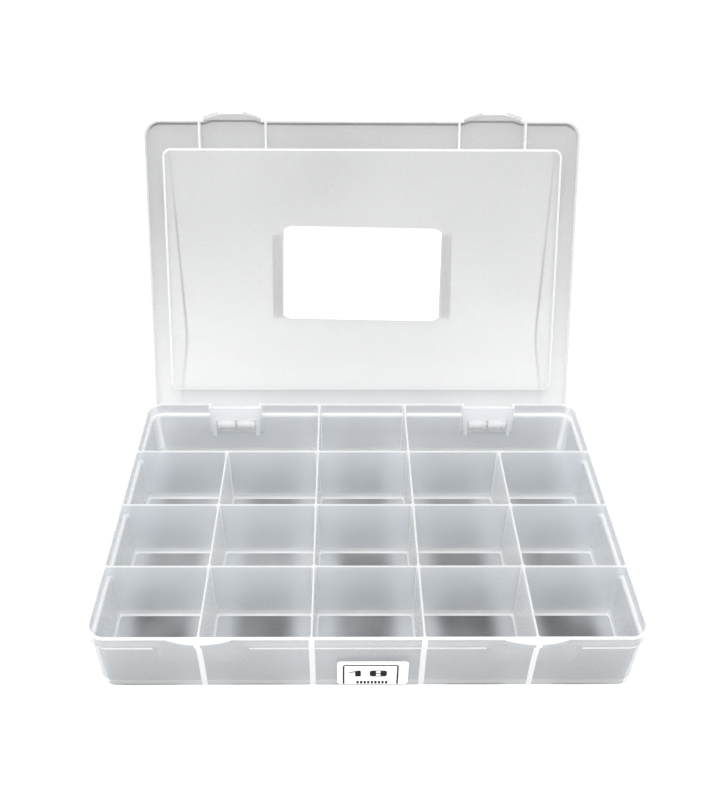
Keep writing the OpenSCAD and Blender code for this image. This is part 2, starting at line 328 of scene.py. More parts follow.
def outline_points():
    """Points round the rim as (centre, outward unit, radius), counterclockwise.

    They include every place where a compartment's corner meets the wall."""
    top_half = cell_levels()[0][2]
    reach = top_half + CELL_R
    inner = RIM_X - RIM_R, RIM_Y - RIM_R

    def straight(values, make):
        return [make(v + s * reach) for v in values for s in (-1, 1)]

    def corner(cx, cy, start):
        arc = []
        for i in range(CORNER_STEPS + 1):
            a = math.radians(start + 90 * i / CORNER_STEPS)
            arc.append((cx, cy, math.cos(a), math.sin(a), RIM_R))
        return arc

    points = corner(-inner[0], -inner[1], 180)
    points += straight(COLUMNS, lambda x: (x, -RIM_Y, 0, -1, 0))
    points += corner(inner[0], -inner[1], 270)
    points += straight(ROWS, lambda y: (RIM_X, y, 1, 0, 0))
    points += corner(inner[0], inner[1], 0)
    points += straight(COLUMNS[1:3], lambda x: (x, RIM_Y, 0, 1, 0))[::-1]
    points += corner(-inner[0], inner[1], 90)
    points += straight(ROWS, lambda y: (-RIM_X, y, -1, 0, 0))[::-1]
    return points


def outline_ring(points, depth, z):
    return [(cx + ux * (r - depth), cy + uy * (r - depth), z) for cx, cy, ux, uy, r in points]


def outer_levels():
    """(depth, z) from the inner edge of the rim, over it and down to the foot."""
    levels = [(1.5, DIVIDER_Z), (1.5, RIM_Z - 0.2), (1.42, RIM_Z - 0.06), (1.25, RIM_Z),
              (0.5, RIM_Z), (0.22, RIM_Z - 0.06), (0.06, RIM_Z - 0.22), (0.0, RIM_Z - 0.5),
              (0.0, 32.0), (0.05, 31.7), (0.2, 31.35), (1.05, 30.05), (1.23, 29.75),
              (WALL_STEP + 0.01, 29.3), (WALL_FOOT, FOOT_R)]
    for a in (18, 36, 54, 72, 90):
        t = math.radians(a)
        levels.append((WALL_FOOT + FOOT_R * (1 - math.cos(t)), FOOT_R * (1 - math.sin(t))))
    underside_ring = 5.6
    levels.append((underside_ring, 0.0))
    return levels


def inside(x, y, ring):
    """Whether (x, y) lies inside a ring, by counting crossings."""
    odd = False
    for (x0, y0, _), (x1, y1, _) in zip(ring, ring[1:] + ring[:1]):
        if (y0 > y) != (y1 > y) and x < x0 + (y - y0) * (x1 - x0) / (y1 - y0):
            odd = not odd
    return odd


def divider_tops(shell, outline, rings):
    """The flat web at the dividers' top, between the compartments' mouths."""
    places = {}
    coords = []
    edges = []
    for ring in [outline] + rings:
        ids = []
        for x, y, _ in ring:
            key = (round(x, 4), round(y, 4))
            if key not in places:
                places[key] = len(coords)
                coords.append(Vector((x, y)))
            ids.append(places[key])
        edges += [(a, b) for a, b in zip(ids, ids[1:] + ids[:1]) if a != b]
    points, _, faces, _, _, _ = delaunay_2d_cdt(coords, edges, [], 0, 1e-5)
    for face in faces:
        corners = [points[i] for i in face]
        x = sum(c.x for c in corners) / len(corners)
        y = sum(c.y for c in corners) / len(corners)
        if inside(x, y, outline) and not any(inside(x, y, ring) for ring in rings):
            shell.face([(c.x, c.y, DIVIDER_Z) for c in corners])


def tray_shell():
    shell = Shell()
    points = outline_points()
    levels = cell_levels()
    made = [[cell_ring(cell, level) for level in levels] for cell in cells()]
    for rings in made:
        for high, low in zip(rings, rings[1:]):
            shell.strip(high, low)
        shell.face(rings[-1])
    divider_tops(shell, outline_ring(points, WALL_T, DIVIDER_Z), [r[0] for r in made])
    rings = [outline_ring(points, depth, z) for depth, z in outer_levels()]
    for first, second in zip(rings, rings[1:]):
        shell.strip(first, second)
    shell.face(rings[-1])
    return shell


def arc_outline(radius, half, crest_y, back_y, inset, steps=40):
    """Crescent seen from above: a front arc and a straight back."""
    points = []
    limit = math.asin(min(half / radius, 1.0))
    for i in range(steps + 1):
        a = lerp(-limit, limit, i / steps)
        points.append(((radius - inset) * math.sin(a),
                       crest_y + radius - (radius - inset) * math.cos(a)))
    points += [(points[-1][0], back_y), (points[0][0], back_y)]
    return points


def crescent(shell, station, radius, half, crest_y, back_y, levels):
    """Solid crescent plate; levels are (inset, z)."""
    rings = []
    for inset, z in levels:
        outline = arc_outline(radius, half, crest_y, back_y, inset)
        rings.append([(station + x, y, z) for x, y in outline])
    shell.loft(rings)


def ease(t):
    t = min(max(t, 0.0), 1.0)
    return t * t * (3 - 2 * t)


def outer_depth(z):
    return lerp(WALL_FOOT, WALL_STEP, (z - FOOT_R) / (SHOULDER_Z - FOOT_R))


def catch_pad(shell, station):
    """Wedge that fairs the band into the wall, with hollowed ends."""
    low, high = box_mm("catch_pad_left")
    half = (high.x - low.x) / 2
    foot_z = low.z
    top = Vector((0.0, PAD_TOP_Z))
    foot = Vector((outer_depth(foot_z), foot_z))
    rings = []
    steps = 48
    for i in range(steps + 1):
        x = lerp(-half, half, i / steps)
        rise = ease((half - abs(x)) / PAD_FADE)
        ring = []
        for j in range(9):
            t = j / 8
            full = top.lerp(foot, t)
            skin = outer_depth(full.y)
            sunk = full.x if full.y > PAD_HOLLOW_Z else max(skin + PAD_HOLLOW, full.x)
            depth = lerp(max(sunk, 0.05), max(full.x, 0.02), rise)
            ring.append((station + x, -RIM_Y + depth, full.y))
        ring.append((station + x, -RIM_Y + foot.x + 0.5, foot.y + 0.4))
        ring.append((station + x, -RIM_Y + 2.0, 30.2))
        ring.append((station + x, -RIM_Y + 0.8, 32.1))
        rings.append(ring)
    shell.loft(rings)


def pocket_half(z):
    """Half the width of a hinge pocket, which narrows towards its floor."""
    low, high = box_mm("hinge_pocket_left")
    top = (high.x - low.x) / 2
    return lerp(top - POCKET_TAPER, top, (z - low.z) / (high.z - low.z))


def tray_additions():
    shell = Shell()
    low, high = box_mm("hinge_pocket_left")
    foot_y, floor_z = low.y, low.z + POCKET_T
    top_y = foot_y + POCKET_LEAN
    foot, head = CATCH_Z
    levels = [(0.35, foot), (0.08, foot + 0.1), (0.0, foot + 0.4), (0.0, head - 0.4),
              (0.1, head - 0.15), (0.35, head)]
    for station in STATIONS:
        crescent(shell, station, CATCH_R, CATCH_HALF, -RIM_Y - CATCH_OUT, -RIM_Y + 0.8, levels)
        catch_pad(shell, station)
        section = [(foot_y, low.z), (high.y, low.z), (high.y, floor_z), (RIM_Y, floor_z),
                   (RIM_Y, RIM_Z - 0.03), (top_y, RIM_Z - 0.03)]
        prism_x(shell, section, lambda z: station - pocket_half(z),
                lambda z: station + pocket_half(z))
    return shell


def pocket_cavities():
    shell = Shell()
    low, high = box_mm("hinge_pocket_left")
    floor_z = low.z + POCKET_T
    front_low = low.y + POCKET_T
    front_high = front_low + POCKET_LEAN
    for station in STATIONS:
        section = [(front_low, floor_z), (RIM_Y + 3, floor_z), (RIM_Y + 3, RIM_Z + 2),
                   (front_high + 0.2, RIM_Z + 2)]
        prism_x(shell, section, lambda z: station - pocket_half(z) + POCKET_T,
                lambda z: station + pocket_half(z) - POCKET_T)
    return shell


def pocket_windows():
    shell = Shell()
    low = box_mm("hinge_pocket_left")[0]
    for station in STATIONS:
        block(shell, (station - WINDOW_HALF, low.y - 2, low.z - 2),
              (station + WINDOW_HALF, low.y + 4, WINDOW_TOP_Z))
    return shell


def rods():
    shell = Shell()
    for station in STATIONS:
        rings = []
        for x in (-ROD_HALF, ROD_HALF):
            rings.append([(station + x, HINGE_Y + ROD_R * math.cos(math.tau * i / 48),
                           HINGE_Z + ROD_R * math.sin(math.tau * i / 48)) for i in range(48)])
        shell.loft(rings)
    return shell


def make_tray():
    piece = tray_shell().build("tray_moulding")
    combine(piece, tray_additions(), "UNION")
    combine(piece, pocket_cavities(), "DIFFERENCE")
    combine(piece, pocket_windows(), "DIFFERENCE")
    combine(piece, rods(), "UNION")
    finish_surface(piece)
    nodes = frame["record"]["behaviour"]["bodies"]["tray"]
    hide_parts(*[n for n in nodes if n != "front_sticker"])
    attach(piece, "tray")
    return piece


# ---- lid, drawn closed and turned open ----

def open_matrix():
    """Takes closed-lid places to open-lid places, in metres."""
    hinge = Matrix.Translation(Vector(HINGE["pos_m"]))
    turn = Matrix.Rotation(math.radians(-OPEN_DEG), 4, Vector(HINGE["axis"]))
    return hinge @ turn @ hinge.inverted()


def rim_ring(grow, z):
    return rounded_ring((-RIM_X - grow, RIM_X + grow), (-RIM_Y - grow, RIM_Y + grow),
                        [RIM_R + grow] * 4, z)


def well_ring(grow, z):
    return rounded_ring((-WELL_X - grow, WELL_X + grow), (WELL_Y[0] - grow, WELL_Y[1] + grow),
                        [max(WELL_R + grow, 0.5)] * 4, z)


def lid_shell():
    """One skin from the panel's inner face, round the skirt, to its outer face."""
    shell = Shell()
    well_in = [(-0.9, PANEL_Z), (-0.45, PANEL_Z + 0.06), (-0.15, PANEL_Z + 0.25),
               (-0.02, PANEL_Z + 0.55), (0.0, PANEL_Z + 0.9), (0.0, BORDER_Z - 0.6),
               (0.08, BORDER_Z - 0.25), (0.3, BORDER_Z - 0.05), (0.7, BORDER_Z)]
    rim_out = [(-2.1, BORDER_Z), (-1.6, BORDER_Z - 0.08), (-1.36, BORDER_Z - 0.35),
               (-1.3, BORDER_Z - 0.8), (-1.3, LID_Z + 0.2), (-1.2, LID_Z + 0.05),
               (-1.0, LID_Z), (-0.3, LID_Z), (-0.1, LID_Z + 0.05), (0.0, LID_Z + 0.25),
               (0.0, LID_TOP - 0.9), (-0.07, LID_TOP - 0.5), (-0.27, LID_TOP - 0.2),
               (-0.55, LID_TOP - 0.05), (-0.95, LID_TOP)]
    well_out = [(-0.7, LID_TOP), (-1.0, LID_TOP - 0.06), (-1.2, LID_TOP - 0.25),
                (-1.3, LID_TOP - 0.6), (-1.3, PANEL_Z + LID_T + 0.7),
                (-1.4, PANEL_Z + LID_T + 0.3), (-1.65, PANEL_Z + LID_T + 0.06),
                (-2.1, PANEL_Z + LID_T)]
    rings = [well_ring(g, z) for g, z in well_in]
    rings += [rim_ring(g, z) for g, z in rim_out]
    rings += [well_ring(g, z) for g, z in well_out]
    shell.loft(rings)
    return shell


def latch_bulge(x):
    """How far a latch stands out of the skirt at x from its middle."""
    rise = LATCH_OUT - LATCH_R + math.sqrt(LATCH_R ** 2 - x ** 2)
    softened = rise ** 2 / (rise + LATCH_SOFT)
    return max(softened * (LATCH_OUT + LATCH_SOFT) / LATCH_OUT, 0.0)


def latch_line(half, inset, steps=48):
    """Bulge's outline seen from above, moved inwards by inset."""
    step = 0.1
    line = []
    for i in range(steps + 1):
        x = lerp(-half, half, i / steps)
        ahead = latch_bulge(min(x + step, LATCH_HALF))
        behind = latch_bulge(max(x - step, -LATCH_HALF))
        slope = (ahead - behind) / (2 * step)
        length = math.hypot(1.0, slope)
        line.append((x - inset * slope / length,
                     -RIM_Y - latch_bulge(x) + inset / length))
    return line


def latch_roof(shell, station):
    """Crescent plate over one latch, faired into the skirt's line."""
    levels = [(0.3, BORDER_Z + 0.02), (0.08, BORDER_Z + 0.1), (0.0, BORDER_Z + 0.3),
              (0.0, LID_TOP - 0.45), (0.12, LID_TOP - 0.18), (0.4, LID_TOP - 0.02)]
    rings = []
    for inset, z in levels:
        line = [(x, min(y, -RIM_Y + 0.3) + 0.04) for x, y in latch_line(LATCH_HALF, inset)]
        line += [(LATCH_HALF, -RIM_Y + 0.9), (-LATCH_HALF, -RIM_Y + 0.9)]
        rings.append([(station + x, y, z) for x, y in line])
    shell.loft(rings)


def skirt_gaps():
    shell = Shell()
    arm_half = EYE_W + EYE_GAP / 2
    for station in STATIONS:
        block(shell, (station - LATCH_GAP_HALF, -RIM_Y - 1, LID_Z - 1),
              (station + LATCH_GAP_HALF, -RIM_Y + 1.9, BORDER_Z - 0.03))
        block(shell, (station - arm_half, RIM_Y - 1.9, LID_Z - 1),
              (station + arm_half, RIM_Y + 1, BORDER_Z - 0.03))
    return shell


def lid_additions():
    """Roofs over the latches, ribs beside them and arms of the hinge eyes."""
    shell = Shell()
    for station in STATIONS:
        latch_roof(shell, station)
        for side in (-1, 1):
            x = station + side * RIB_OFFSET
            ring_levels = [(0.35, LID_Z + 0.6), (0.5, LID_Z + 0.7), (0.6, LID_Z + 1.0),
                           (0.66, BORDER_Z + 0.2)]
            rings = [[(x - h, -RIM_Y + 0.9, z), (x + h, -RIM_Y + 0.9, z),
                      (x + h, WELL_Y[0] + 0.5, z), (x - h, WELL_Y[0] + 0.5, z)]
                     for h, z in ring_levels]
            shell.loft(rings)
            x = station + side * (EYE_W + EYE_GAP) / 2
            block(shell, (x - EYE_W / 2, HINGE_Y - 0.4, HINGE_Z + ARM_DROP),
                  (x + EYE_W / 2, HINGE_Y + 1.9, BORDER_Z + 0.3))
    return shell


def eye_rings():
    """Flanged eyes, turned about the hinge axis with their bores."""
    shell = Shell()
    half = EYE_W / 2
    bore = ROD_R + EYE_CLEAR
    neck = half - FLANGE_W
    section = [(-half, bore), (-half, FLANGE_R - 0.2), (-half + 0.15, FLANGE_R),
               (-neck - 0.15, FLANGE_R), (-neck, FLANGE_R - 0.15), (-neck, EYE_R),
               (neck, EYE_R), (neck, FLANGE_R - 0.15), (neck + 0.15, FLANGE_R),
               (half - 0.15, FLANGE_R), (half, FLANGE_R - 0.2), (half, bore)]
    for station in STATIONS:
        for side in (-1, 1):
            x = station + side * (EYE_W + EYE_GAP) / 2
            rings = []
            for i in range(64):
                a = math.tau * i / 64
                rings.append([(x + dx, HINGE_Y + r * math.cos(a), HINGE_Z + r * math.sin(a))
                              for dx, r in section])
            shell.loft(rings + rings[:1], caps=False)
    return shell


def make_lid():
    piece = lid_shell().build("lid_moulding")
    combine(piece, skirt_gaps(), "DIFFERENCE")
    combine(piece, lid_additions(), "UNION")
    combine(piece, eye_rings(), "UNION")
    piece.data.transform(open_matrix())
    finish_surface(piece)
    nodes = frame["record"]["behaviour"]["bodies"]["lid"]
    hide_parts(*[n for n in nodes if n != "lid_card"])
    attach(piece, "lid")
    return piece


def latch_wall(shell, station):
    """Curved flap, closed at its ends, with rounded free edges."""
    bottom, top = LATCH_FOOT_Z, BORDER_Z - 0.3
    outer = latch_line(LATCH_GAP_HALF - LATCH_CLEAR, 0.0)
    inner = latch_line(LATCH_GAP_HALF - LATCH_CLEAR, LID_T)
    limit = -RIM_Y - LATCH_CLEAR
    inner = [(x, min(y, limit)) for x, y in inner]
    outer = [(x, min(y, limit)) for x, y in outer]
    middle_line = [((a[0] + b[0]) / 2, (a[1] + b[1]) / 2) for a, b in zip(outer, inner)]

    def section(t, z):
        low = [(lerp(m[0], p[0], t), lerp(m[1], p[1], t)) for m, p in zip(middle_line, outer)]
        back = [(lerp(m[0], p[0], t), lerp(m[1], p[1], t)) for m, p in zip(middle_line, inner)]
        return [(station + x, y, z) for x, y in low + back[::-1]]

    levels = [(0.45, bottom), (0.8, bottom + 0.08), (1.0, bottom + 0.35), (1.0, top - 0.35),
              (0.8, top - 0.08), (0.45, top)]
    shell.loft([section(t, z) for t, z in levels])


def make_latch(side, station):
    shell = Shell()
    latch_wall(shell, station)
    piece = shell.build(f"latch_flap_{side}")
    lip = Shell()
    front = -RIM_Y - LATCH_OUT + 0.5
    tip = -RIM_Y - CATCH_OUT + 0.8
    low, high = LIP_TIP_Z
    section = [(front, low - 1.0), (tip - 0.6, low - 0.6), (tip, low), (tip, high),
               (front, high + 0.1)]
    prism_x(lip, section, station - LIP_HALF, station + LIP_HALF)
    combine(piece, lip, "UNION")
    piece.data.transform(open_matrix())
    finish_surface(piece)
    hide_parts(f"latch_{side}")
    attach(piece, f"latch_{side}")
    return piece


# ---- card and sticker ----

def card_shell(width, height, radius, thick, bow):
    """Thin rounded sheet; its ends lift by bow along -Z."""
    shell = Shell()
    top = []
    bottom = []
    columns = 24
    for i in range(columns + 1):
        x = lerp(-width / 2, width / 2, i / columns)
        past = max(radius - (width / 2 - abs(x)), 0.0)
        cut = radius - math.sqrt(max(radius ** 2 - past ** 2, 0.0))
        y = height / 2 - cut
        z = -bow * (abs(x) / (width / 2)) ** 2
        top.append([(x, -y, z), (x, y, z)])
        bottom.append([(x, -y, z - thick), (x, y, z - thick)])
    for a, b, c, d in zip(top, top[1:], bottom, bottom[1:]):
        shell.face([a[0], b[0], b[1], a[1]])
        shell.face([c[0], c[1], d[1], d[0]])
        shell.face([a[0], c[0], d[0], b[0]])
        shell.face([a[1], b[1], d[1], c[1]])
    shell.face([top[0][0], top[0][1], bottom[0][1], bottom[0][0]])
    shell.face([top[-1][0], bottom[-1][0], bottom[-1][1], top[-1][1]])
    return shell


def make_card():
    shell = card_shell(width=99.0, height=57.5, radius=2.0, thick=0.2, bow=0.35)
    piece = shell.build("lid_card_sheet")
    place = Matrix.Translation(Vector((0, -1.6, PANEL_Z)) * MM)
    tilt = Matrix.Rotation(math.radians(1.0), 4, "Z")
    piece.data.transform(open_matrix() @ place @ tilt)
    finish_surface(piece)
    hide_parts("lid_card")
    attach(piece, "lid")
    return piece


def sticker_matrix():
    """Sticker plane: x along the wall, y up the leaning wall, z outwards."""
    low, high = box_mm("front_sticker")
    middle_x = Vector(((low.x + high.x) / 2, 0, 0))
    foot = Vector((0, -RIM_Y + outer_depth(low.z), low.z))
    head = Vector((0, -RIM_Y + outer_depth(high.z), high.z))
    up = (head - foot).normalized()
    out = Vector((1, 0, 0)).cross(up)
    centre = (foot + head) / 2 + middle_x
    turn = Matrix((Vector((1, 0, 0)), up, out)).transposed().to_4x4()
    return Matrix.Translation(centre * MM) @ turn


def flat_piece(name, rings, low, high):
    """Thin printed area between two heights over the sticker's plane."""
    shell = Shell()
    for ring in rings:
        shell.loft([[(x, y, low) for x, y in ring], [(x, y, high) for x, y in ring]])
    return shell.build(name)


def flat_ring(x, y, r, steps=6):
    return [(p[0], p[1]) for p in rounded_ring(x, y, [r] * 4, 0, steps)]


def make_sticker():
    place = sticker_matrix()
    x, y = STICKER_HALF
    sheet = flat_piece("front_sticker_sheet", [flat_ring((-x, x), (-y, y), STICKER_R)],
                       0.0, STICKER_T)
    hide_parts("front_sticker")
    return place_print(sheet, place)


def place_print(piece, place):
    piece.data.transform(place)
    finish_surface(piece)
    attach(piece, "tray")
    return piece


def frame_outline():
    """Line frame of the sticker as one closed outline, open at the bottom."""
    left, right = -14.8, 12.7
    foot, top = -8.8, 6.5
    wide, r = 0.85, 1.5
    outer = []
    inner = []
    for cx, start in ((right - r, 0), (left + r, 90)):
        for i in range(9):
            a = math.radians(start + 90 * i / 8)
            outer.append((cx + r * math.cos(a), top - r + r * math.sin(a)))
            inner.append((cx + (r - wide) * math.cos(a), top - r + (r - wide) * math.sin(a)))
    outer = [(right, foot)] + outer + [(left, foot)]
    inner = [(right - wide, foot)] + inner + [(left + wide, foot)]
    return outer, inner


def make_line_frame():
    shell = Shell()
    outer, inner = frame_outline()
    rings = []
    for a, b in zip(outer, inner):
        rings.append([(*a, PRINT_LOW), (*b, PRINT_LOW), (*b, PRINT_HIGH), (*a, PRINT_HIGH)])
    shell.loft(rings)
    return shell.build("sticker_line_frame")


def make_digits():
    """Squat, wide digits: the number of compartments."""
    one = [(-5.8, -2.3), (-5.8, 1.3), (-6.5, 2.0), (-7.6, 2.0), (-8.6, 1.5), (-11.7, 0.6),
           (-11.7, 0.1), (-8.7, 0.6), (-8.7, -2.3), (-8.2, -2.8), (-6.3, -2.8)]
    digits = flat_piece("sticker_digits", [one, flat_ring((-1.5, 7.0), (-2.8, 2.0), 1.4, 8)],
                        PRINT_LOW, PRINT_HIGH)
    for y in ((-2.2, -0.6), (0.0, 1.5)):
        hole = Shell()
        ring = flat_ring((1.6, 3.9), y, 0.5)
        hole.loft([[(x, v, 0.1) for x, v in ring], [(x, v, 0.3) for x, v in ring]])
        combine(digits, hole, "DIFFERENCE")
    return digits


def make_blocks():
    """Plain blocks where the sticker carries a line of small print."""
    rings = []
    for i in range(9):
        x = lerp(-8.0, 6.2, i / 8)
        rings.append(flat_ring((x, x + 1.2), (-8.6, -6.4), 0.3, 3))
    return flat_piece("sticker_small_blocks", rings, PRINT_LOW, PRINT_HIGH)


def make_ink():
    place = sticker_matrix()
    pieces = [make_line_frame(), make_digits(), make_blocks()]
    return [place_print(p, place) for p in pieces]


# ---- materials ----

class Nodes:
    """A material's node tree, built by short calls."""

    def __init__(self, name):
        self.material = bpy.data.materials.new(name)
        self.material.use_nodes = True
        self.tree = self.material.node_tree
        self.tree.nodes.clear()

    def add(self, kind, values=None, **settings):
        node = self.tree.nodes.new("ShaderNode" + kind)
        for name, value in settings.items():
            setattr(node, name, value)
        for name, value in (values or {}).items():
            self.put(node.inputs[name], value)
        return node

    def put(self, socket, value):
        if isinstance(value, bpy.types.NodeSocket):
            self.tree.links.new(value, socket)
        else:
            socket.default_value = value

    def math(self, operation, *values):
        node = self.tree.nodes.new("ShaderNodeMath")
        node.operation = operation
        for socket, value in zip(node.inputs, values):
            self.put(socket, value)
        return node.outputs[0]

    def most(self, *values):
        """The largest of several masks."""
        largest = values[0]
        for value in values[1:]:
            largest = self.math("MAXIMUM", largest, value)
        return largest

    def product(self, *values):
        result = values[0]
        for value in values[1:]:
            result = self.math("MULTIPLY", result, value)
        return result

    def between(self, value, low, high, to_low=0.0, to_high=1.0):
        """Maps value smoothly from low..high to to_low..to_high."""
        node = self.tree.nodes.new("ShaderNodeMapRange")
        node.interpolation_type = "SMOOTHSTEP"
        for socket, given in zip(node.inputs, (value, low, high, to_low, to_high)):
            self.put(socket, given)
        return node.outputs[0]

    def noise(self, vector, scale, detail=3.0, rough=0.5):
        node = self.add("TexNoise", {"Vector": vector, "Scale": scale, "Detail": detail,
                                     "Roughness": rough})
        return node.outputs["Fac"]

    def mix_colour(self, factor, a, b):
        node = self.tree.nodes.new("ShaderNodeMix")
        node.data_type = "RGBA"
        self.put(node.inputs[0], factor)
        self.put(node.inputs[6], a)
        self.put(node.inputs[7], b)
        return node.outputs[2]


# Shadow rays pass more light than the plastic shows, to keep the deep
# compartments bright. It is a look, not a measured transmission.
SHADOW_PASS = 0.9


def grey(value, tint=0.0):
    """A grey, a little cool for a positive tint and warm for a negative one."""
    return (value * (1 - tint), value, value * (1 + tint), 1.0)


# The first of the two tones is the lit tone, the second the painted shaded tone.
def plastic(name, lit_and_shaded_tones, tint, clear, edge, shade):
    """Milky polypropylene: part of the light passes, part scatters, some mirrors.

    edge(nodes, place) is 1 where a painted highlight whitens edges and fillets, and
    shade(nodes, place) is 1 where painted shade darkens the moulding."""
    n = Nodes(name)
    place = n.add("TexCoord").outputs["Object"]
    cloud = n.noise(place, 18.0, 1.0, 0.4)
    fine = n.noise(place, 1400.0, 2.0, 0.5)
    wave = n.noise(place, 14.0, 0.0, 0.4)
    # painted highlight: edges and fillets whitened as if light gathered there
    painted_highlight = edge(n, place)
    # painted shade: the moulding darkened towards the shaded tone
    painted_shade_level = n.product(shade(n, place), n.between(cloud, 0.0, 1.0, 0.85, 1.1))
    tone = n.mix_colour(painted_shade_level, grey(lit_and_shaded_tones[0], tint), grey(lit_and_shaded_tones[1], tint))
    # near-white colour of the painted highlight
    tone = n.mix_colour(painted_highlight, tone, grey(0.98, 0.003))
    bump = n.add("Bump", {"Strength": 0.02, "Distance": 0.0004, "Height": wave})
    skin = n.add("Bump", {"Strength": 0.08, "Distance": 0.00002, "Height": fine,
                          "Normal": bump.outputs[0]})
    normal = skin.outputs[0]
    rough = n.between(fine, 0.0, 1.0, 0.22, 0.3)
    body = n.add("BsdfPrincipled", {"Base Color": tone, "Roughness": rough, "IOR": 1.49,
                                    "Normal": normal})
    glow = n.add("BsdfTranslucent", {"Color": tone, "Normal": normal})
    scatter = n.add("MixShader", {0: 0.5, 1: body.outputs[0], 2: glow.outputs[0]})
    # painted shade and painted highlight also make the plastic less clear
    see = n.product(n.between(painted_shade_level, 0.0, 1.0, clear, clear * 0.4),
                    n.between(painted_highlight, 0.0, 1.0, 1.0, 0.15))
    shadow = n.add("LightPath").outputs["Is Shadow Ray"]
    see = n.most(see, n.product(shadow, SHADOW_PASS))
    through = n.add("BsdfTransparent", {"Color": grey(0.99, tint / 4)})
    core = n.add("MixShader", {0: see, 1: scatter.outputs[0], 2: through.outputs[0]})
    shine = n.add("BsdfGlossy", {"Color": (1, 1, 1, 1), "Roughness": rough, "Normal": normal})
    fresnel = n.add("Fresnel", {"IOR": 1.45, "Normal": normal})
    final = n.add("MixShader", {0: n.product(fresnel.outputs[0], 0.7),
                                1: core.outputs[0], 2: shine.outputs[0]})
    n.add("OutputMaterial", {"Surface": final.outputs[0]})
    return n.material


def metres(value):
    return value * MM


def near_lines(n, coordinate, lines, reach, fade):
    """1 on the given lines of one coordinate, falling to 0 beyond reach."""
    masks = []
    for line in lines:
        distance = n.math("ABSOLUTE", n.math("SUBTRACT", coordinate, metres(line)))
        masks.append(n.between(distance, metres(reach), metres(reach + fade), 1.0, 0.0))
    return n.most(*masks)


def divided(n, x, y):
    """0 where the rear row has no outer column dividers, else 1."""
    wide = n.product(n.between(n.math("ABSOLUTE", x), metres(55.0), metres(60.0)),
                     n.between(y, metres(ROWS[-1] + 1.0), metres(ROWS[-1] + 2.0)))
    return n.math("SUBTRACT", 1.0, wide)


def near_plates(n, x, y, reach, fade):
    """1 at the column dividers and side walls, falling to 0 beyond reach."""
    always = near_lines(n, x, [-RIM_X] + COLUMNS[1:-1] + [RIM_X], reach, fade)
    outer = near_lines(n, x, [COLUMNS[0], COLUMNS[-1]], reach, fade)
    return n.most(always, n.product(outer, divided(n, x, y)))


def outside(n, x, y, z):
    """1 on the walls' outer faces and 0 on their inner ones."""
    step = n.between(z, metres(30.6), metres(31.4), 0.0, metres(WALL_STEP))
    masks = []
    for coordinate, rim in ((x, RIM_X), (y, RIM_Y)):
        past = n.math("SUBTRACT", n.math("ABSOLUTE", coordinate), step)
        masks.append(n.between(past, metres(rim - 2.7), metres(rim - 2.3)))
    return n.most(*masks)


def fillet_painted_highlight(n, x, y, z):
    """Painted highlight on the fillets round the compartments' floors, fainter on the outer faces.
    """
    return n.product(n.between(z, metres(FLOOR_T + 0.01), metres(FLOOR_T + 0.07)),
                     n.between(z, metres(4.2), metres(5.2), 1.0, 0.0),
                     n.between(outside(n, x, y, z), 0.0, 1.0, 1.0, 0.35))


def ledge_painted_highlight(n, x, y, z):
    """Painted highlight on the shoulder under the rim band, missing at the catch pads."""
    walls = n.most(n.between(n.math("ABSOLUTE", x), metres(130.5), metres(131.5)),
                   n.between(n.math("ABSOLUTE", y), metres(90.0), metres(91.0)))
    pads = n.product(near_lines(n, x, STATIONS, 22.5, 1.0),
                     n.between(y, metres(-80.0), metres(-85.0)))
    return n.product(n.between(z, metres(28.8), metres(29.1)),
                     n.between(z, metres(31.3), metres(31.7), 1.0, 0.0),
                     n.math("SUBTRACT", walls, pads))


def pocket_painted_highlight(n, x, y, z):
    """Painted highlight on the plates of the hinge pockets, above their floors."""
    return n.product(near_lines(n, x, STATIONS, 17.0, 0.5),
                     n.between(y, metres(84.0), metres(86.0)),
                     n.between(z, metres(17.5), metres(18.3)))


def tray_painted_highlights(n, place):
    """Painted highlights on the dividers' tops, fillets, shoulder and the lines where plates meet.
    """
    x, y, z = n.add("SeparateXYZ", {"Vector": place}).outputs
    top = n.between(z, metres(36.9), metres(37.4))
    here = divided(n, x, y)
    plates = n.product(near_lines(n, x, COLUMNS, 1.2, 0.4), here)
    columns = n.product(near_lines(n, x, COLUMNS, 1.0, 0.8), here)
    joins = n.product(columns, near_lines(n, y, ROWS, 1.0, 0.8), 0.9)
    front = n.product(columns, n.between(y, metres(-87.5), metres(-89.5)), 0.8)
    ledge = n.product(ledge_painted_highlight(n, x, y, z), 0.95)
    pockets = n.product(pocket_painted_highlight(n, x, y, z), 0.5)
    return n.most(top, fillet_painted_highlight(n, x, y, z), plates, ledge, joins, pockets, front)


def floor_painted_shade(n, place, x, y, z):
    """Painted shade: darker patches on the open floors, weaker near plates and in the middle rows.
    """
    floor = n.between(z, metres(1.5), metres(1.41))
    front_rows = n.between(y, metres(-60.0), metres(5.0), 1.0, 0.75)
    rows = n.most(front_rows, n.between(y, metres(42.0), metres(60.0), 0.0, 1.0))
    blotch = n.between(n.noise(place, 26.0, 1.0, 0.5), 0.3, 0.65, 0.82, 1.0)
    ends = n.between(near_plates(n, x, y, 2.0, 19.0), 0.0, 1.0, 1.0, 0.4)
    return n.product(floor, rows, blotch, ends)


def tray_painted_shade(n, place):
    """Painted shade: darker on the open floors, low between the plates and on the outer faces."""
    x, y, z = n.add("SeparateXYZ", {"Vector": place}).outputs
    low = n.between(z, metres(36.0), metres(6.0))
    between_plates = n.math("SUBTRACT", 1.0, near_plates(n, x, y, 7.0, 15.0))
    # painted shade low down between the plates, where less light reaches
    walls = n.product(low, between_plates, 0.14)
    # painted shade on the walls' outer faces
    outer_face_shade = n.product(outside(n, x, y, z), n.between(low, 0.0, 1.0, 0.5, 0.58))
    return n.most(walls, outer_face_shade, floor_painted_shade(n, place, x, y, z))


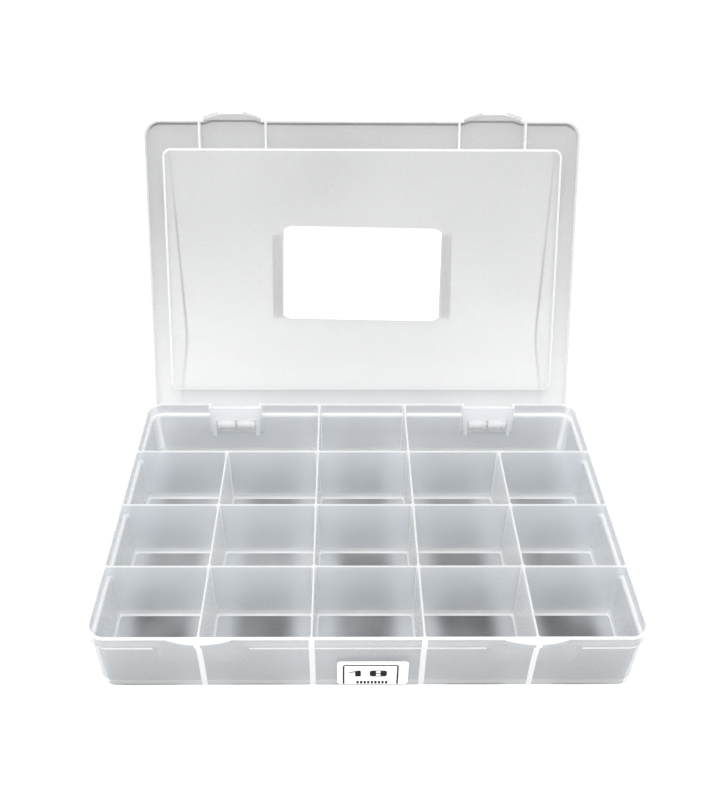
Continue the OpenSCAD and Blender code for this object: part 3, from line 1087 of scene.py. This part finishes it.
def closed_place(n, place):
    """Place in the closed lid of a point of the open lid."""
    loc, rot, _ = open_matrix().decompose()
    node = n.tree.nodes.new("ShaderNodeMapping")
    node.vector_type = "TEXTURE"
    n.put(node.inputs["Vector"], place)
    node.inputs["Location"].default_value = loc
    node.inputs["Rotation"].default_value = rot.to_euler()
    return node.outputs[0]


def closed_axes(n, place):
    return n.add("SeparateXYZ", {"Vector": closed_place(n, place)}).outputs


def edge_distance(n, x, y, half, middle_y, radius):
    """Distance inside (negative) a rounded rectangle, near its edge."""
    dx = n.math("SUBTRACT", n.math("ABSOLUTE", x), metres(half[0] - radius))
    dy = n.math("ABSOLUTE", n.math("SUBTRACT", y, metres(middle_y)))
    dy = n.math("SUBTRACT", dy, metres(half[1] - radius))
    dx, dy = (n.math("MAXIMUM", d, 0.0) for d in (dx, dy))
    square = n.math("MULTIPLY_ADD", dx, dx, n.math("MULTIPLY", dy, dy))
    return n.math("SUBTRACT", n.math("SQRT", square), metres(radius))


def rim_distance(n, x, y):
    return edge_distance(n, x, y, (RIM_X, RIM_Y), 0.0, RIM_R)


def well_distance(n, x, y):
    return edge_distance(n, x, y, (WELL_X, (WELL_Y[1] - WELL_Y[0]) / 2),
                         sum(WELL_Y) / 2, WELL_R)


def skirt_painted_highlight(n, x, y, z):
    """Painted highlight on the skirt and the ribs beside the latches, below the border."""
    below = n.between(z, metres(BORDER_Z - 0.4), metres(BORDER_Z - 1.2))
    skirt = n.between(rim_distance(n, x, y), metres(-1.9), metres(-1.35))
    from_latch = n.math("SUBTRACT", n.math("ABSOLUTE", x), metres(STATIONS[1]))
    ribs = n.product(near_lines(n, n.math("ABSOLUTE", from_latch), [RIB_OFFSET], 0.7, 0.2),
                     n.between(y, metres(WELL_Y[0] + 1), metres(WELL_Y[0])))
    return n.product(n.most(skirt, ribs), below)


def rear_painted_highlight(n, across, y):
    """Painted highlight: bright band along the rear edge of the panel, low in the open lid."""
    return n.product(n.between(y, metres(WELL_Y[1] - 6.5), metres(WELL_Y[1] - 4.5)),
                     n.between(y, metres(WELL_Y[1] + 0.5), metres(WELL_Y[1]), 0.0, 0.6),
                     n.between(across, metres(WELL_X - 2), metres(WELL_X - 5)))


def lid_painted_highlights(n, place):
    """Painted highlights where light gathers: skirt, ribs, riser, eyes, latches and the lid's
    rear.
    """
    x, y, z = closed_axes(n, place)
    riser = n.product(near_lines(n, well_distance(n, x, y), [-0.5], 0.6, 0.4), 0.9)
    bulges = n.between(y, metres(-RIM_Y - 0.1), metres(-RIM_Y - 0.8), 0.0, 0.2)
    # painted light: the lid grows lighter towards its rear, the low end when open
    rear = n.between(y, metres(5.0), metres(85.0), 0.0, 0.65)
    eyes = n.product(n.between(y, metres(86), metres(88)), n.between(z, metres(34), metres(30)))
    band = rear_painted_highlight(n, n.math("ABSOLUTE", x), y)
    return n.most(skirt_painted_highlight(n, x, y, z), riser, bulges, rear, band, eyes)


def panel_painted_arcs(n, across, y, t):
    """Painted shade: curved darker bands at the panel's sides; t runs from its front to its rear.
    """
    rise = n.math("MULTIPLY_ADD", t, metres(9.3), metres(4.3))
    fall = n.math("MULTIPLY_ADD", t, metres(-20.0), metres(27.0))
    reach = n.math("SMOOTH_MIN", rise, fall, metres(2.5))
    gap = n.math("SUBTRACT", n.math("SUBTRACT", metres(WELL_X), reach), across)
    line = n.between(n.math("ABSOLUTE", gap), metres(0.3), metres(1.7), 1.0, 0.0)
    beyond = n.between(gap, metres(0.5), metres(-1.0))
    return n.product(n.most(n.product(line, 0.55), n.product(beyond, 0.18)),
                     n.between(across, metres(WELL_X - 0.6), metres(WELL_X - 1.4)),
                     n.between(y, metres(WELL_Y[0]), metres(WELL_Y[0] + 2)))


def corner_painted_shade(n, x, y, z):
    """Painted shade: darker line in the corner under the border, bent round the latches."""
    bulge = near_lines(n, n.math("ABSOLUTE", x), [STATIONS[1]], 12.0, 7.0)
    edge = n.math("SUBTRACT", rim_distance(n, x, y), n.product(bulge, metres(1.7)))
    return n.product(near_lines(n, edge, [-2.0], 0.45, 0.5),
                     n.between(n.math("ABSOLUTE", y), metres(RIM_Y - 9.0), metres(RIM_Y - 3.0)),
                     n.between(z, metres(BORDER_Z - 1.0), metres(BORDER_Z - 0.4)))


def card_painted_shadow(n, across, y):
    """Painted shadow strips at the card's left and right ends."""
    return n.product(near_lines(n, across, [53.5], 2.5, 2.0),
                     n.between(n.math("ABSOLUTE", y), metres(28.0), metres(25.0)), 0.5)


def border_painted_wedges(n, across, t):
    """Painted shade: darker wedges on the border beside the panel, narrower towards the rear."""
    middle_x = n.math("MULTIPLY_ADD", t, metres(-19.0), metres(129.0))
    wide = n.math("MULTIPLY_ADD", t, metres(-4.5), metres(2.6))
    away = n.math("ABSOLUTE", n.math("SUBTRACT", across, middle_x))
    return n.product(n.between(away, wide, n.math("ADD", wide, metres(1.6)), 1.0, 0.0),
                     n.between(t, -0.09, -0.03),
                     n.between(across, metres(WELL_X), metres(WELL_X + 0.8)), 0.55)


def lid_painted_shade(n, place):
    """Painted shade: arcs, corner line, card's shadow and wedges, over a tone darker in front."""
    x, y, z = closed_axes(n, place)
    across = n.math("ABSOLUTE", x)
    length = metres(WELL_Y[1] - WELL_Y[0])
    t = n.math("DIVIDE", n.math("SUBTRACT", y, metres(WELL_Y[0])), length)
    # painted shade: the lid is darker towards its front, the top when open
    front = n.between(y, metres(75.0), metres(-75.0), 0.1, 0.42)
    # painted shade: the border a little darker
    border = n.between(z, metres(BORDER_Z - 1), metres(BORDER_Z - 0.3), 0.0, 0.1)
    return n.most(panel_painted_arcs(n, across, y, t), card_painted_shadow(n, across, y),
                  corner_painted_shade(n, x, y, z), border_painted_wedges(n, across, t),
                  n.math("ADD", front, border))


def paper(name, tone, bump_scale, bump_strength, specular=0.5):
    n = Nodes(name)
    place = n.add("TexCoord").outputs["Object"]
    fibre = n.noise(place, bump_scale, 5.0, 0.7)
    soil = n.noise(place, 60.0, 3.0, 0.5)
    colour = n.mix_colour(n.between(soil, 0.35, 0.7), grey(tone, -0.004), grey(tone * 0.97, 0.002))
    bump = n.add("Bump", {"Strength": bump_strength, "Distance": 0.00003, "Height": fibre})
    rough = n.between(fibre, 0.3, 0.7, 0.48, 0.62)
    body = n.add("BsdfPrincipled", {"Base Color": colour, "Roughness": rough,
                                    "Normal": bump.outputs[0], "Specular IOR Level": specular})
    n.add("OutputMaterial", {"Surface": body.outputs[0]})
    return n.material


def dress(pieces, material):
    for piece in pieces:
        piece.data.materials.clear()
        piece.data.materials.append(material)


# ---- stage ----

def make_floor():
    mesh = bpy.data.meshes.new("floor")
    reach = 40.0
    mesh.from_pydata([(-reach, -reach, 0), (reach, -reach, 0), (reach, reach, 0),
                      (-reach, reach, 0)], [], [(0, 1, 2, 3)])
    floor = bpy.data.objects.new("floor", mesh)
    bpy.context.scene.collection.objects.link(floor)
    n = Nodes("floor_white")
    body = n.add("BsdfDiffuse", {"Color": (0.96, 0.96, 0.96, 1.0)})
    n.add("OutputMaterial", {"Surface": body.outputs[0]})
    floor.data.materials.append(n.material)


def make_lights():
    world = bpy.data.worlds.new("studio")
    bpy.context.scene.world = world
    world.use_nodes = True
    background = world.node_tree.nodes["Background"]
    background.inputs["Color"].default_value = (1, 1, 1, 1)
    background.inputs["Strength"].default_value = 0.85
    light = bpy.data.lights.new("soft_sun", "SUN")
    light.energy = 2.3
    light.angle = math.radians(70)
    sun = bpy.data.objects.new("soft_sun", light)
    sun.rotation_euler = (math.radians(20), math.radians(-6), 0)
    bpy.context.scene.collection.objects.link(sun)


def make_camera():
    data = bpy.data.cameras.new("camera")
    camera = bpy.data.objects.new("camera", data)
    bpy.context.scene.collection.objects.link(camera)
    focal, centre, frame_px = 908.71, (350.49, 448.33), (728, 800)
    data.sensor_width = 36.0
    data.lens = focal / max(frame_px) * 36.0
    data.shift_x = (frame_px[0] / 2 - centre[0]) / max(frame_px)
    data.shift_y = (centre[1] - frame_px[1] / 2) / max(frame_px)
    data.clip_start, data.clip_end = 0.01, 50.0
    pitch, yaw, roll = (math.radians(a) for a in (38.83, 0.62, 0.41))
    forward = Vector((math.sin(yaw) * math.cos(pitch), math.cos(yaw) * math.cos(pitch),
                      -math.sin(pitch)))
    right = Vector((math.cos(yaw), -math.sin(yaw), 0))
    up = right.cross(forward)
    side = right * math.cos(roll) + up * math.sin(roll)
    top = up * math.cos(roll) - right * math.sin(roll)
    turn = Matrix((side, top, -forward)).transposed().to_4x4()
    camera.matrix_world = Matrix.Translation(Vector((-0.01208, -0.37217, 0.37709))) @ turn
    bpy.context.scene.camera = camera
    bpy.context.scene.view_settings.view_transform = "Standard"


make_floor()
make_lights()
make_camera()
tray = make_tray()
lid = make_lid()
latches = [make_latch(side, station) for side, station in zip(("left", "right"), STATIONS)]
card = make_card()
sticker = make_sticker()
ink = make_ink()
# Each plastic has a lit tone and a painted shaded tone, with painted highlight and painted shade
# masks.
dress([tray], plastic("tray_milky", (0.95, 0.12), 0.03, 0.5, tray_painted_highlights, tray_painted_shade))
dress([lid] + latches, plastic("lid_milky", (0.7, 0.22), 0.004, 0.5, lid_painted_highlights, lid_painted_shade))
dress([card], paper("card_white", 0.95, 700.0, 0.3))
dress([sticker], paper("sticker_white", 0.94, 900.0, 0.15))
dress(ink, paper("ink_black", 0.01, 900.0, 0.1, 0.1))
